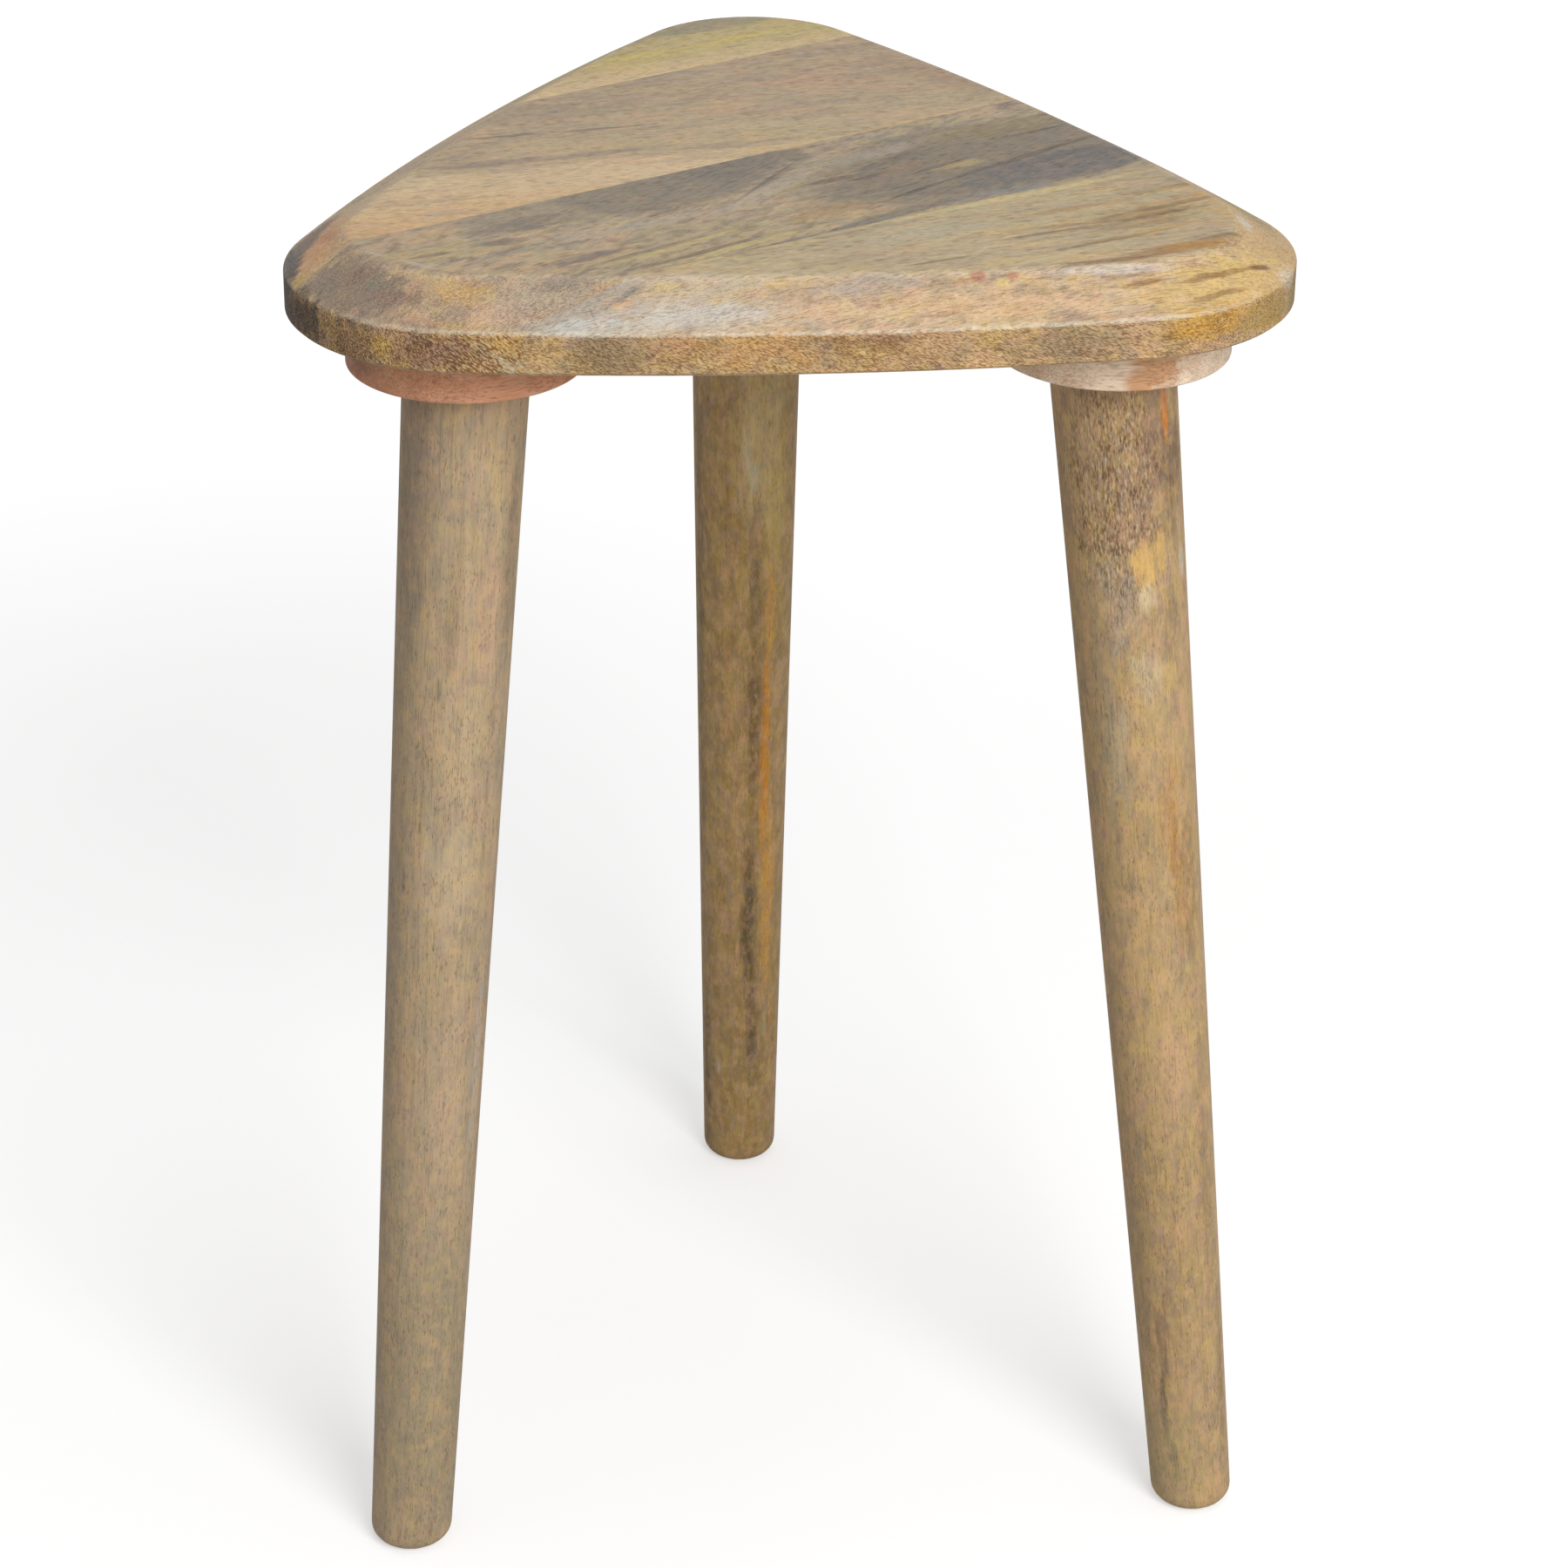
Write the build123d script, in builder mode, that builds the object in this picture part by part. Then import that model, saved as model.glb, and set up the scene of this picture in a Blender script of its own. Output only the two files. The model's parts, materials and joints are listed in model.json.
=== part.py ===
from build123d import *
from math import asin, cos, degrees, radians, sqrt, tan
import os

# Side table with a rounded-triangle top glued up from four boards. A round pad is screwed under each
# corner, and a tapered leg stands splayed under each pad, held by a hanger bolt in a threaded insert.
# Millimetres, +Z up. The origin is on the floor, under the middle of the whole table.

# Top
table_height = 500.0
top_thickness = 26.0
corner_distance = 119.5  # from the top's centre to the centre of each corner's arc
corner_radius = 63.0
side_radius = 950.0  # the long sides bow outwards
bevel_inset = 21.5
bevel_drop = 12.0
bevel_top_round = 5.0
bevel_ridge_round = 1.5
underside_ease = 1.0

# Glue lines between the boards: distance from the top's centre, and direction in plan
rear_glue_distance = 99.5
middle_glue_distance = 9.1
front_glue_distance = 67.5
rear_glue_angle = 29.5
middle_glue_angle = 29.5
front_glue_angle = 28.0

# Pads
pad_radius = 40.0
pad_thickness = 19.5
pad_inset = 19.5  # the pad's edge inside the top's, at the corner
pad_round = 1.0

# Legs
leg_top_radius = 21.4
leg_foot_radius = 14.7
foot_round = 6.0

# Direction of each pad from the top's centre, its leg's lean from upright, and the turn of that lean
left_pad_angle = 209.1
left_lean_angle = 5.2
left_turn_angle = 12.0
right_pad_angle = 330.2
right_lean_angle = 6.5
right_turn_angle = 6.0
back_pad_angle = 90.5
back_lean_angle = 6.5
back_turn_angle = -4.0
leg_angles = {
    "left": (left_pad_angle, left_lean_angle, left_turn_angle),
    "right": (right_pad_angle, right_lean_angle, right_turn_angle),
    "back": (back_pad_angle, back_lean_angle, back_turn_angle),
}

# Hanger bolts: machine thread up into the pad's insert, wood thread down into the leg
bolt_radius = 4.0
bolt_headroom = 2.0  # free height over the bolt inside the pad
bolt_tip_chamfer = 0.8
bolt_waist_radius = 3.5
bolt_waist_length = 4.0
bolt_wood_length = 30.0
bolt_point_length = 8.0
bolt_point_radius = 0.6
bolt_socket_width = 4.0
bolt_socket_depth = 4.0

# Threaded inserts
insert_wall = 2.0
insert_sink = 1.0  # set below the pad's underside
insert_cover = 3.5  # wood left over the insert
insert_lead_chamfer = 0.8
insert_socket_step = 0.4  # the drive socket's flats beyond the bore
insert_socket_depth = 3.0

# Pad screws
screws_per_pad = 3
first_screw_angle = 60.0
screw_radius = 2.0
screw_head_radius = 4.0
screw_head_sink = 0.4
screw_head_angle = 90.0
screw_cover = 5.5  # wood left over the screw points in the top
screw_point_length = 5.0
screw_point_radius = 0.4
screw_drive_width = 0.9
screw_drive_span = 4.2
screw_drive_depth = 1.4

# Clearances
metal_fit = 0.15  # between metal and the wood or thread round it
drill_past = 1.5  # blind holes run this far past what they hold
overrun = 10.0  # stock and cuts run this far past the faces they end on

# Heights, distances and lengths that follow from the sizes above
top_base = table_height - top_thickness
pad_base = top_base - pad_thickness
pad_distance = corner_distance + corner_radius - pad_inset - pad_radius
bolt_metal_length = pad_thickness - bolt_headroom
insert_bore = bolt_radius + metal_fit
insert_radius = insert_bore + insert_wall
insert_end = pad_thickness - insert_cover
screw_circle_radius = (leg_top_radius + pad_radius) / 2
screw_bite = top_thickness - screw_cover
screw_length = pad_thickness - screw_head_sink + screw_bite

# The side arcs touch the corner arcs, so each side's centre lies beyond the top's centre
corner_half_span = corner_distance * cos(radians(30))
side_centre_distance = sqrt((side_radius - corner_radius) ** 2 - corner_half_span**2) - corner_distance / 2
side_half_angle = degrees(asin(corner_half_span / (side_radius - corner_radius)))


def foot_centre(bearing, lean, turn):
    """Where a leg's axis meets the floor, from the point under the top's centre."""
    pad = Vector(pad_distance, 0).rotate(Axis.Z, bearing)
    return pad + Vector(pad_base * tan(radians(lean)), 0).rotate(Axis.Z, bearing + turn)


# The whole table's reach on each side of the top's centre puts the origin in the middle
feet = [foot_centre(*angles) for angles in leg_angles.values()]
reach_left = min(-corner_half_span - corner_radius, *[foot.X - leg_foot_radius for foot in feet])
reach_right = max(corner_half_span + corner_radius, *[foot.X + leg_foot_radius for foot in feet])
reach_front = min(side_centre_distance - side_radius, *[foot.Y - leg_foot_radius for foot in feet])
reach_back = max(corner_distance + corner_radius, *[foot.Y + leg_foot_radius for foot in feet])
floor = Plane(origin=(-(reach_left + reach_right) / 2, -(reach_front + reach_back) / 2, 0))
top_underside = floor.offset(top_base)
pad_underside = floor.offset(pad_base)


def glue_plane(distance, angle):
    """Upright plane along a glue line, facing the rear."""
    rearward = Vector(0, 1, 0).rotate(Axis.Z, angle)
    return Plane(origin=floor.origin + rearward * distance, x_dir=(0, 0, 1), z_dir=rearward)


def under_pad(bearing):
    """Plane on a pad's underside, facing down, with X pointing out from the top's centre."""
    outward = Vector(1, 0, 0).rotate(Axis.Z, bearing)
    return Plane(origin=pad_underside.origin + outward * pad_distance, x_dir=outward, z_dir=(0, 0, -1))


def down_leg(bearing, lean, turn):
    """Plane square to a leg's axis, where that axis meets the pad, facing down the leg."""
    across = Vector(0, 1, 0).rotate(Axis.Z, bearing + turn)
    downward = Vector(0, 0, -1).rotate(Axis((0, 0, 0), across), -lean)
    return Plane(origin=under_pad(bearing).origin, x_dir=across, z_dir=downward)


def profile_plane(plane):
    """Plane for a turned profile: X is the radius, and Y runs along the given plane's Z."""
    return Plane(origin=plane.origin, x_dir=plane.x_dir, z_dir=plane.x_dir.cross(plane.z_dir))


os.makedirs("parts", exist_ok=True)

# The top as glued up: outline, bevel, eased edges, and holes for the pad screws
with BuildPart() as top_blank:
    with BuildSketch(top_underside):
        with BuildLine():
            for side in (30, 150, 270):
                side_centre = Vector(-side_centre_distance, 0).rotate(Axis.Z, side)
                CenterArc(side_centre, side_radius, side - side_half_angle, 2 * side_half_angle)
                corner_centre = Vector(corner_distance, 0).rotate(Axis.Z, side + 60)
                CenterArc(corner_centre, corner_radius, side + side_half_angle, 120 - 2 * side_half_angle)
        make_face()
    extrude(amount=top_thickness)
    top_face = top_blank.faces().sort_by(Axis.Z)[-1]
    chamfer(top_face.edges(), length=bevel_inset, length2=bevel_drop, reference=top_face)
    for rim, rounding in ((-1, bevel_top_round), (1, bevel_ridge_round)):
        rims = top_blank.edges().filter_by(GeomType.CIRCLE).group_by(Axis.Z)
        fillet(rims[rim], radius=rounding)
    chamfer(top_blank.edges().group_by(Axis.Z)[0], length=underside_ease)
    for bearing, _, _ in leg_angles.values():
        with Locations(under_pad(bearing)):
            with PolarLocations(screw_circle_radius, screws_per_pad, start_angle=first_screw_angle):
                Hole(radius=screw_radius + metal_fit, depth=pad_thickness + screw_bite + drill_past)

# The four boards, cut from it along the glue lines
rear_glue = glue_plane(rear_glue_distance, rear_glue_angle)
middle_glue = glue_plane(middle_glue_distance, middle_glue_angle)
front_glue = glue_plane(-front_glue_distance, front_glue_angle)
boards = {
    "top_board_rear": [(rear_glue, Keep.TOP)],
    "top_board_mid_rear": [(rear_glue, Keep.BOTTOM), (middle_glue, Keep.TOP)],
    "top_board_mid_front": [(middle_glue, Keep.BOTTOM), (front_glue, Keep.TOP)],
    "top_board_front": [(front_glue, Keep.BOTTOM)],
}
for name, cuts in boards.items():
    with BuildPart() as board:
        add(top_blank.part)
        for glue_line, kept in cuts:
            split(bisect_by=glue_line, keep=kept)
    board.part.label = name
    export_step(board.part, f"parts/{name}.step")

# One countersunk wood screw, head at the origin and point down
with BuildPart() as wood_screw:
    with BuildSketch(Plane.XZ):
        with BuildLine():
            Polyline(
                (0, 0),
                (screw_head_radius, 0),
                (screw_radius, screw_radius - screw_head_radius),
                (screw_radius, screw_point_length - screw_length),
                (screw_point_radius, -screw_length),
                (0, -screw_length),
                close=True,
            )
        make_face()
    revolve(axis=Axis.Z)
    with BuildSketch(Plane.XY):
        Rectangle(screw_drive_span, screw_drive_width)
        Rectangle(screw_drive_width, screw_drive_span)
    extrude(amount=-screw_drive_depth, mode=Mode.SUBTRACT)

for name, (bearing, lean, turn) in leg_angles.items():
    pad_face = under_pad(bearing)
    head_face = pad_face.offset(-screw_head_sink)
    leg_axis = down_leg(bearing, lean, turn)
    leg_length = pad_base / cos(radians(lean))
    taper = (leg_top_radius - leg_foot_radius) / leg_length

    with BuildPart() as pad:
        with BuildSketch(pad_face):
            Circle(pad_radius)
        extrude(amount=-pad_thickness)
        fillet(pad.edges().filter_by(GeomType.CIRCLE), radius=pad_round)
        with BuildSketch(leg_axis.offset(-insert_end)):
            Circle(insert_radius + metal_fit)
        extrude(amount=insert_end + overrun, mode=Mode.SUBTRACT)
        with BuildSketch(leg_axis.offset(overrun)):
            Circle(insert_bore)
        extrude(amount=-pad_thickness - 2 * overrun, mode=Mode.SUBTRACT)
        with Locations(head_face):
            with PolarLocations(screw_circle_radius, screws_per_pad, start_angle=first_screw_angle):
                CounterSinkHole(
                    radius=screw_radius + metal_fit,
                    counter_sink_radius=screw_head_radius + metal_fit,
                    depth=pad_thickness + overrun,
                    counter_sink_angle=screw_head_angle,
                )
    pad.part.label = f"leg_pad_{name}"
    export_step(pad.part, f"parts/leg_pad_{name}.step")

    with BuildPart() as leg:
        with BuildSketch(profile_plane(leg_axis)):
            with BuildLine():
                Polyline(
                    (0, -overrun),
                    (leg_top_radius + taper * overrun, -overrun),
                    (leg_foot_radius - taper * overrun, leg_length + overrun),
                    (0, leg_length + overrun),
                    close=True,
                )
            make_face()
        revolve(axis=Axis(leg_axis.origin, leg_axis.z_dir))
        split(bisect_by=pad_underside, keep=Keep.BOTTOM)
        split(bisect_by=floor, keep=Keep.TOP)
        fillet(leg.edges().group_by(Axis.Z)[0], radius=foot_round)
        with BuildSketch(leg_axis.offset(-overrun)):
            Circle(bolt_radius + metal_fit)
        extrude(amount=overrun + bolt_wood_length + drill_past, mode=Mode.SUBTRACT)
    leg.part.label = f"leg_{name}"
    export_step(leg.part, f"parts/leg_{name}.step")

    with BuildPart() as bolt:
        with BuildSketch(profile_plane(leg_axis)):
            with BuildLine():
                Polyline(
                    (0, -bolt_metal_length),
                    (bolt_radius - bolt_tip_chamfer, -bolt_metal_length),
                    (bolt_radius, bolt_tip_chamfer - bolt_metal_length),
                    (bolt_radius, 0),
                    (bolt_waist_radius, 0),
                    (bolt_waist_radius, bolt_waist_length),
                    (bolt_radius, bolt_waist_length),
                    (bolt_radius, bolt_wood_length - bolt_point_length),
                    (bolt_point_radius, bolt_wood_length),
                    (0, bolt_wood_length),
                    close=True,
                )
            make_face()
        revolve(axis=Axis(leg_axis.origin, leg_axis.z_dir))
        with BuildSketch(leg_axis.offset(-bolt_metal_length)):
            RegularPolygon(bolt_socket_width / 2, 6, major_radius=False)
        extrude(amount=bolt_socket_depth, mode=Mode.SUBTRACT)
    bolt.part.label = f"hanger_bolt_{name}"
    export_step(bolt.part, f"parts/hanger_bolt_{name}.step")

    with BuildPart() as insert:
        with BuildSketch(leg_axis.offset(-insert_sink)):
            Circle(insert_radius)
        extrude(amount=insert_sink - insert_end)
        lead_edge = insert.edges().filter_by(GeomType.CIRCLE).sort_by(Axis.Z)[-1]
        chamfer(lead_edge, length=insert_lead_chamfer)
        with BuildSketch(leg_axis.offset(-insert_end)):
            Circle(insert_bore)
        extrude(amount=insert_end, mode=Mode.SUBTRACT)
        with BuildSketch(leg_axis.offset(-insert_sink)):
            RegularPolygon(insert_bore + insert_socket_step, 6, major_radius=False)
        extrude(amount=-insert_socket_depth, mode=Mode.SUBTRACT)
    insert.part.label = f"insert_nut_{name}"
    export_step(insert.part, f"parts/insert_nut_{name}.step")

    with BuildPart() as screws:
        with Locations(head_face):
            with PolarLocations(screw_circle_radius, screws_per_pad, start_angle=first_screw_angle):
                add(wood_screw.part)
    screws.part.label = f"pad_screws_{name}"
    export_step(screws.part, f"parts/pad_screws_{name}.step")
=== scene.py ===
import json
import math

import bpy
from mathutils import Matrix, Vector


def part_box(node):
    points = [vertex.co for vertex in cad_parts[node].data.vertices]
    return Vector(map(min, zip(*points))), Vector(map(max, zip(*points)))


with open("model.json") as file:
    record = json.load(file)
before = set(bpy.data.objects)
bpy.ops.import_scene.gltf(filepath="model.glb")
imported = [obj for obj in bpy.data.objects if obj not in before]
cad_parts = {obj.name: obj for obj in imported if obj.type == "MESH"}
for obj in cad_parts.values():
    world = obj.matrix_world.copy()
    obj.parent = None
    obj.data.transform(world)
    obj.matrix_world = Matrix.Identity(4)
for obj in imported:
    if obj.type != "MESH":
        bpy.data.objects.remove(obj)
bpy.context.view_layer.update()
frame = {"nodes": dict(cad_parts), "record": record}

# Triangular side table in mixed-tone hardwood under a satin clear lacquer. Every piece is a node of the
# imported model, and the work here is its finish: each board, pad and leg is solid wood, from its own plank.
# Places are in millimetres in the model's frame, and colours are screen levels from 0 to 255.

MM = 0.001
ORIGIN = (0.0, 0.0, 0.0)
SIDES = ("left", "right", "back")

# The top's flat, the ridge where its bevel meets its side, and its underside
TABLE_HEIGHT = 500.0
RIDGE_HEIGHT = TABLE_HEIGHT - 12.0
UNDERSIDE_HEIGHT = TABLE_HEIGHT - 26.0


# Camera, fitted to the photograph. Its turns are in radians, and its clipping distance is in metres.

IMAGE_SIDE = 1800.0
FOCAL_PIXELS = 5124.2
SENSOR = 36.0
CAMERA_PLACE = Vector((-121.3, -1466.6, 1004.8))
CAMERA_YAW = 0.08642
CAMERA_PITCH = -0.47553
CAMERA_ROLL = 0.01159
CLIP_END = 50.0


def place_camera():
    """Turned right by its yaw, tilted by its pitch, which is negative as it looks down, and then rolled."""
    level = math.cos(CAMERA_PITCH)
    forward = Vector((math.sin(CAMERA_YAW) * level, math.cos(CAMERA_YAW) * level, math.sin(CAMERA_PITCH)))
    right = Vector((math.cos(CAMERA_YAW), -math.sin(CAMERA_YAW), 0))
    up = right.cross(forward)
    rolled_right = right * math.cos(CAMERA_ROLL) + up * math.sin(CAMERA_ROLL)
    rolled_up = up * math.cos(CAMERA_ROLL) - right * math.sin(CAMERA_ROLL)
    turn = Matrix((rolled_right, rolled_up, -forward)).transposed().to_4x4()
    lens = bpy.data.cameras.new("camera")
    lens.sensor_width = SENSOR
    lens.lens = FOCAL_PIXELS / IMAGE_SIDE * SENSOR
    lens.clip_end = CLIP_END
    camera = bpy.data.objects.new("camera", lens)
    camera.matrix_world = Matrix.Translation(CAMERA_PLACE * MM) @ turn
    bpy.context.collection.objects.link(camera)
    bpy.context.scene.camera = camera


# Wiring of node trees


def screen(red, green, blue):
    """A colour in screen levels from 0 to 255, made linear for the shaders."""
    levels = [level / 255 for level in (red, green, blue)]
    linear = [v / 12.92 if v <= 0.04045 else ((v + 0.055) / 1.055) ** 2.4 for v in levels]
    return (*linear, 1.0)


def in_plan(degrees):
    """A turn about the upright axis."""
    return (0.0, 0.0, math.radians(degrees))


class Wiring:
    """Adds nodes to one tree. An input is given as a value, or as another node's output to link from."""

    def __init__(self, tree):
        self.tree = tree

    def link(self, output, entry):
        self.tree.links.new(output, entry)

    def node(self, kind, inputs=(), **settings):
        made = self.tree.nodes.new(kind)
        for name, value in settings.items():
            setattr(made, name, value)
        for name, value in dict(inputs).items():
            if isinstance(value, bpy.types.NodeSocket):
                self.link(value, made.inputs[name])
            else:
                made.inputs[name].default_value = value
        return made

    def math(self, operation, first, second=0.0, third=0.0):
        values = {0: first, 1: second, 2: third}
        return self.node("ShaderNodeMath", values, operation=operation).outputs[0]

    def times(self, first, second):
        return self.math("MULTIPLY", first, second)

    def minus(self, first, second):
        return self.math("SUBTRACT", first, second)

    def vector(self, operation, first, second):
        return self.node("ShaderNodeVectorMath", {0: first, 1: second}, operation=operation).outputs[0]

    def length(self, vector):
        return self.node("ShaderNodeVectorMath", {0: vector}, operation="LENGTH").outputs["Value"]

    def scale(self, vector, factor):
        return self.node("ShaderNodeVectorMath", {0: vector, "Scale": factor}, operation="SCALE").outputs[0]

    def channels(self, vector):
        return self.node("ShaderNodeSeparateXYZ", {0: vector}).outputs

    def stretch(self, vector, along, across):
        """Coordinates counted in cells that are so many millimetres long and wide."""
        return self.vector("MULTIPLY", vector, (1 / along, 1 / across, 1 / across))

    def stretch_by(self, vector, along, across):
        """The same, for a length or a width that comes from a socket."""
        size = self.node("ShaderNodeCombineXYZ", {"X": along, "Y": across, "Z": across}).outputs[0]
        return self.vector("DIVIDE", vector, size)

    def noise(self, vector, detail=2.0, roughness=0.5, scale=1.0):
        inputs = {"Vector": vector, "Scale": scale, "Detail": detail, "Roughness": roughness}
        return self.node("ShaderNodeTexNoise", inputs).outputs

    def smooth_range(self, value, low, high, to_low=0.0, to_high=1.0):
        inputs = {"Value": value, "From Min": low, "From Max": high, "To Min": to_low, "To Max": to_high}
        return self.node("ShaderNodeMapRange", inputs, interpolation_type="SMOOTHSTEP").outputs["Result"]

    def mix(self, factor, first, second, blend="MIX"):
        inputs = {0: factor, 6: first, 7: second}
        return self.node("ShaderNodeMix", inputs, data_type="RGBA", blend_type=blend).outputs[2]

    def ramp(self, factor, stops):
        made = self.node("ShaderNodeValToRGB", {0: factor})
        elements = made.color_ramp.elements
        while len(elements) < len(stops):
            elements.new(1.0)
        for element, (position, colour) in zip(elements, stops):
            element.position = position
            element.color = colour
        return made.outputs[0]

    def place(self, centre, turn=(0.0, 0.0, 0.0), size=(1.0, 1.0, 1.0)):
        """Object coordinates counted from a centre, along turned axes, in units of size millimetres."""
        inputs = {
            "Vector": self.node("ShaderNodeTexCoord").outputs["Object"],
            "Location": [v * MM for v in centre],
            "Rotation": turn,
            "Scale": [v * MM for v in size],
        }
        return self.node("ShaderNodeMapping", inputs, vector_type="TEXTURE").outputs[0]


def new_group(name, inputs, outputs):
    """A shader node group with named sockets: its tree, its wiring, what comes in and where it goes out."""
    tree = bpy.data.node_groups.new(name, "ShaderNodeTree")
    for socket_name, kind, *value in inputs:
        socket = tree.interface.new_socket(socket_name, in_out="INPUT", socket_type=f"NodeSocket{kind}")
        if value:
            socket.default_value = value[0]
    for socket_name, kind in outputs:
        tree.interface.new_socket(socket_name, in_out="OUTPUT", socket_type=f"NodeSocket{kind}")
    wiring = Wiring(tree)
    return tree, wiring, wiring.node("NodeGroupInput").outputs, wiring.node("NodeGroupOutput").inputs


def empty_wiring(owner):
    """The wiring of a material or a world, with the nodes that it came with taken out."""
    owner.use_nodes = True
    owner.node_tree.nodes.clear()
    return Wiring(owner.node_tree)


# Effects that the woods share. Their vectors are in millimetres, with X along the grain.

# Noise lies round 0.5. Each pair says at which value a mark starts to show and at which it is full.
DARK_BAND = (0.49, 0.34)
LIGHT_BAND = (0.51, 0.66)
CLOUD = (0.47, 0.63)
PALE_FLECK = (0.42, 0.3)

# Open pores and dark flecks count theirs from an edge, which falls with their share and in a crowd
PORE_EDGE = 0.79
OPEN_PORE = (-0.03, 0.07)
FLECK_EDGE = 0.62
DARK_FLECK = (-0.01, 0.045)

# The cells of noise, by their length and width, and the widths of fibres and pores
WANDER_CELL = (90.0, 40.0)
RIPPLE_CELL = (17.0, 8.0)
GROUND_CELL = (70.0, 25.0)
PORE_CROWD = (45.0, 4.0)
RAGGED_CELL = (13.0, 3.0)
FIBRE_WIDTH = 1.1
PORE_WIDTH = 0.45

# A fibre's height is a share of a pore's depth, and its roughness and a pore's add to the lacquer's
FIBRE_CONTRAST = 4.0
FIBRE_HEIGHT = 0.35
LACQUER_ROUGHNESS = 0.42
PORE_ROUGHNESS = 0.15
FIBRE_ROUGHNESS = 0.1


def make_figure():
    """Growth bands: long wandering streaks of a darker and a lighter tone."""
    tree, wiring, given, result = new_group(
        "wood figure",
        [
            ("Color", "Color"),
            ("Vector", "Vector"),
            ("Dark", "Color", screen(110, 90, 65)),
            ("Light", "Color", screen(215, 195, 150)),
            ("Dark Amount", "Float", 0.5),
            ("Light Amount", "Float", 0.5),
            ("Band Width", "Float", 5.0),
            ("Band Length", "Float", 120.0),
            ("Wander", "Float", 5.0),
            ("Ripple", "Float", 5.0),
        ],
        [("Color", "Color")],
    )
    wandering = given["Vector"]
    for cell, amount in ((WANDER_CELL, given["Wander"]), (RIPPLE_CELL, given["Ripple"])):
        drift = wiring.noise(wiring.stretch(given["Vector"], *cell))["Color"]
        drift = wiring.scale(wiring.vector("SUBTRACT", drift, (0.5, 0.5, 0.5)), amount)
        wandering = wiring.vector("ADD", wandering, drift)
    cells = wiring.stretch_by(wandering, given["Band Length"], given["Band Width"])
    bands = wiring.noise(cells, detail=4.0, roughness=0.6)["Fac"]
    dark = wiring.smooth_range(bands, *DARK_BAND)
    light = wiring.smooth_range(bands, *LIGHT_BAND)
    darker = wiring.mix(wiring.times(dark, given["Dark Amount"]), given["Color"], given["Dark"])
    lighter = wiring.mix(wiring.times(light, given["Light Amount"]), darker, given["Light"])
    wiring.link(lighter, result["Color"])
    return tree


def make_fibres():
    """Fine fibres and long open pores, with their height and roughness."""
    tree, wiring, given, result = new_group(
        "wood fibres and pores",
        [
            ("Color", "Color"),
            ("Vector", "Vector"),
            ("Fibre Amount", "Float", 0.12),
            ("Fibre Length", "Float", 8.0),
            ("Pore Length", "Float", 13.0),
            ("Pore Amount", "Float", 0.4),
            ("Pore Share", "Float", 0.3),
        ],
        [("Color", "Color"), ("Height", "Float"), ("Roughness", "Float")],
    )
    cells = wiring.stretch_by(given["Vector"], given["Fibre Length"], FIBRE_WIDTH)
    fibres = wiring.noise(cells, detail=5.0, roughness=0.7)["Fac"]
    spread = wiring.times(wiring.minus(fibres, 0.5), given["Fibre Amount"])
    fibred = wiring.scale(given["Color"], wiring.math("MULTIPLY_ADD", spread, FIBRE_CONTRAST, 1.0))

    cells = wiring.stretch_by(given["Vector"], given["Pore Length"], PORE_WIDTH)
    pores = wiring.noise(cells, detail=1.0)["Fac"]
    crowds = wiring.noise(wiring.stretch(given["Vector"], *PORE_CROWD), detail=1.0)["Fac"]
    edge = wiring.minus(PORE_EDGE, wiring.times(given["Pore Share"], 0.5))
    edge = wiring.minus(edge, wiring.times(crowds, 0.15))
    open_pores = wiring.smooth_range(wiring.minus(pores, edge), *OPEN_PORE)
    filled = wiring.mix(1.0, fibred, screen(160, 136, 112), blend="MULTIPLY")
    pored = wiring.mix(wiring.times(open_pores, given["Pore Amount"]), fibred, filled)
    wiring.link(pored, result["Color"])

    height = wiring.minus(wiring.times(fibres, FIBRE_HEIGHT), open_pores)
    wiring.link(height, result["Height"])
    roughness = wiring.math("MULTIPLY_ADD", open_pores, PORE_ROUGHNESS, LACQUER_ROUGHNESS)
    roughness = wiring.math("MULTIPLY_ADD", fibres, FIBRE_ROUGHNESS, roughness)
    wiring.link(roughness, result["Roughness"])
    return tree


def make_flecks():
    """Short dark and pale flecks, where the pores and rays are cut across. X runs along the flecks."""
    tree, wiring, given, result = new_group(
        "cut pores and rays",
        [
            ("Color", "Color"),
            ("Vector", "Vector"),
            ("Mask", "Float", 1.0),
            ("Length", "Float", 2.4),
            ("Width", "Float", 0.6),
            ("Dark Amount", "Float", 0.6),
            ("Pale Amount", "Float", 0.3),
            ("Share", "Float", 0.5),
        ],
        [("Color", "Color"), ("Height", "Float")],
    )
    cells = wiring.stretch_by(given["Vector"], given["Length"], given["Width"])
    flecks = wiring.noise(cells, detail=1.0, roughness=0.6)["Fac"]
    crowds = wiring.noise(given["Vector"], scale=0.09)["Fac"]
    crowded = wiring.times(wiring.minus(crowds, 0.5), 0.25)
    edge = wiring.minus(wiring.math("MULTIPLY_ADD", given["Share"], -0.2, FLECK_EDGE), crowded)
    dark = wiring.smooth_range(wiring.minus(flecks, edge), *DARK_FLECK)
    dark = wiring.times(wiring.times(dark, given["Dark Amount"]), given["Mask"])
    pale = wiring.smooth_range(flecks, *PALE_FLECK)
    pale = wiring.times(wiring.times(pale, given["Pale Amount"]), given["Mask"])
    burnt = wiring.mix(1.0, given["Color"], screen(136, 104, 78), blend="MULTIPLY")
    darker = wiring.mix(dark, given["Color"], burnt)
    wiring.link(wiring.mix(pale, darker, screen(236, 218, 186)), result["Color"])
    wiring.link(wiring.times(dark, -1.0), result["Height"])
    return tree


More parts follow.
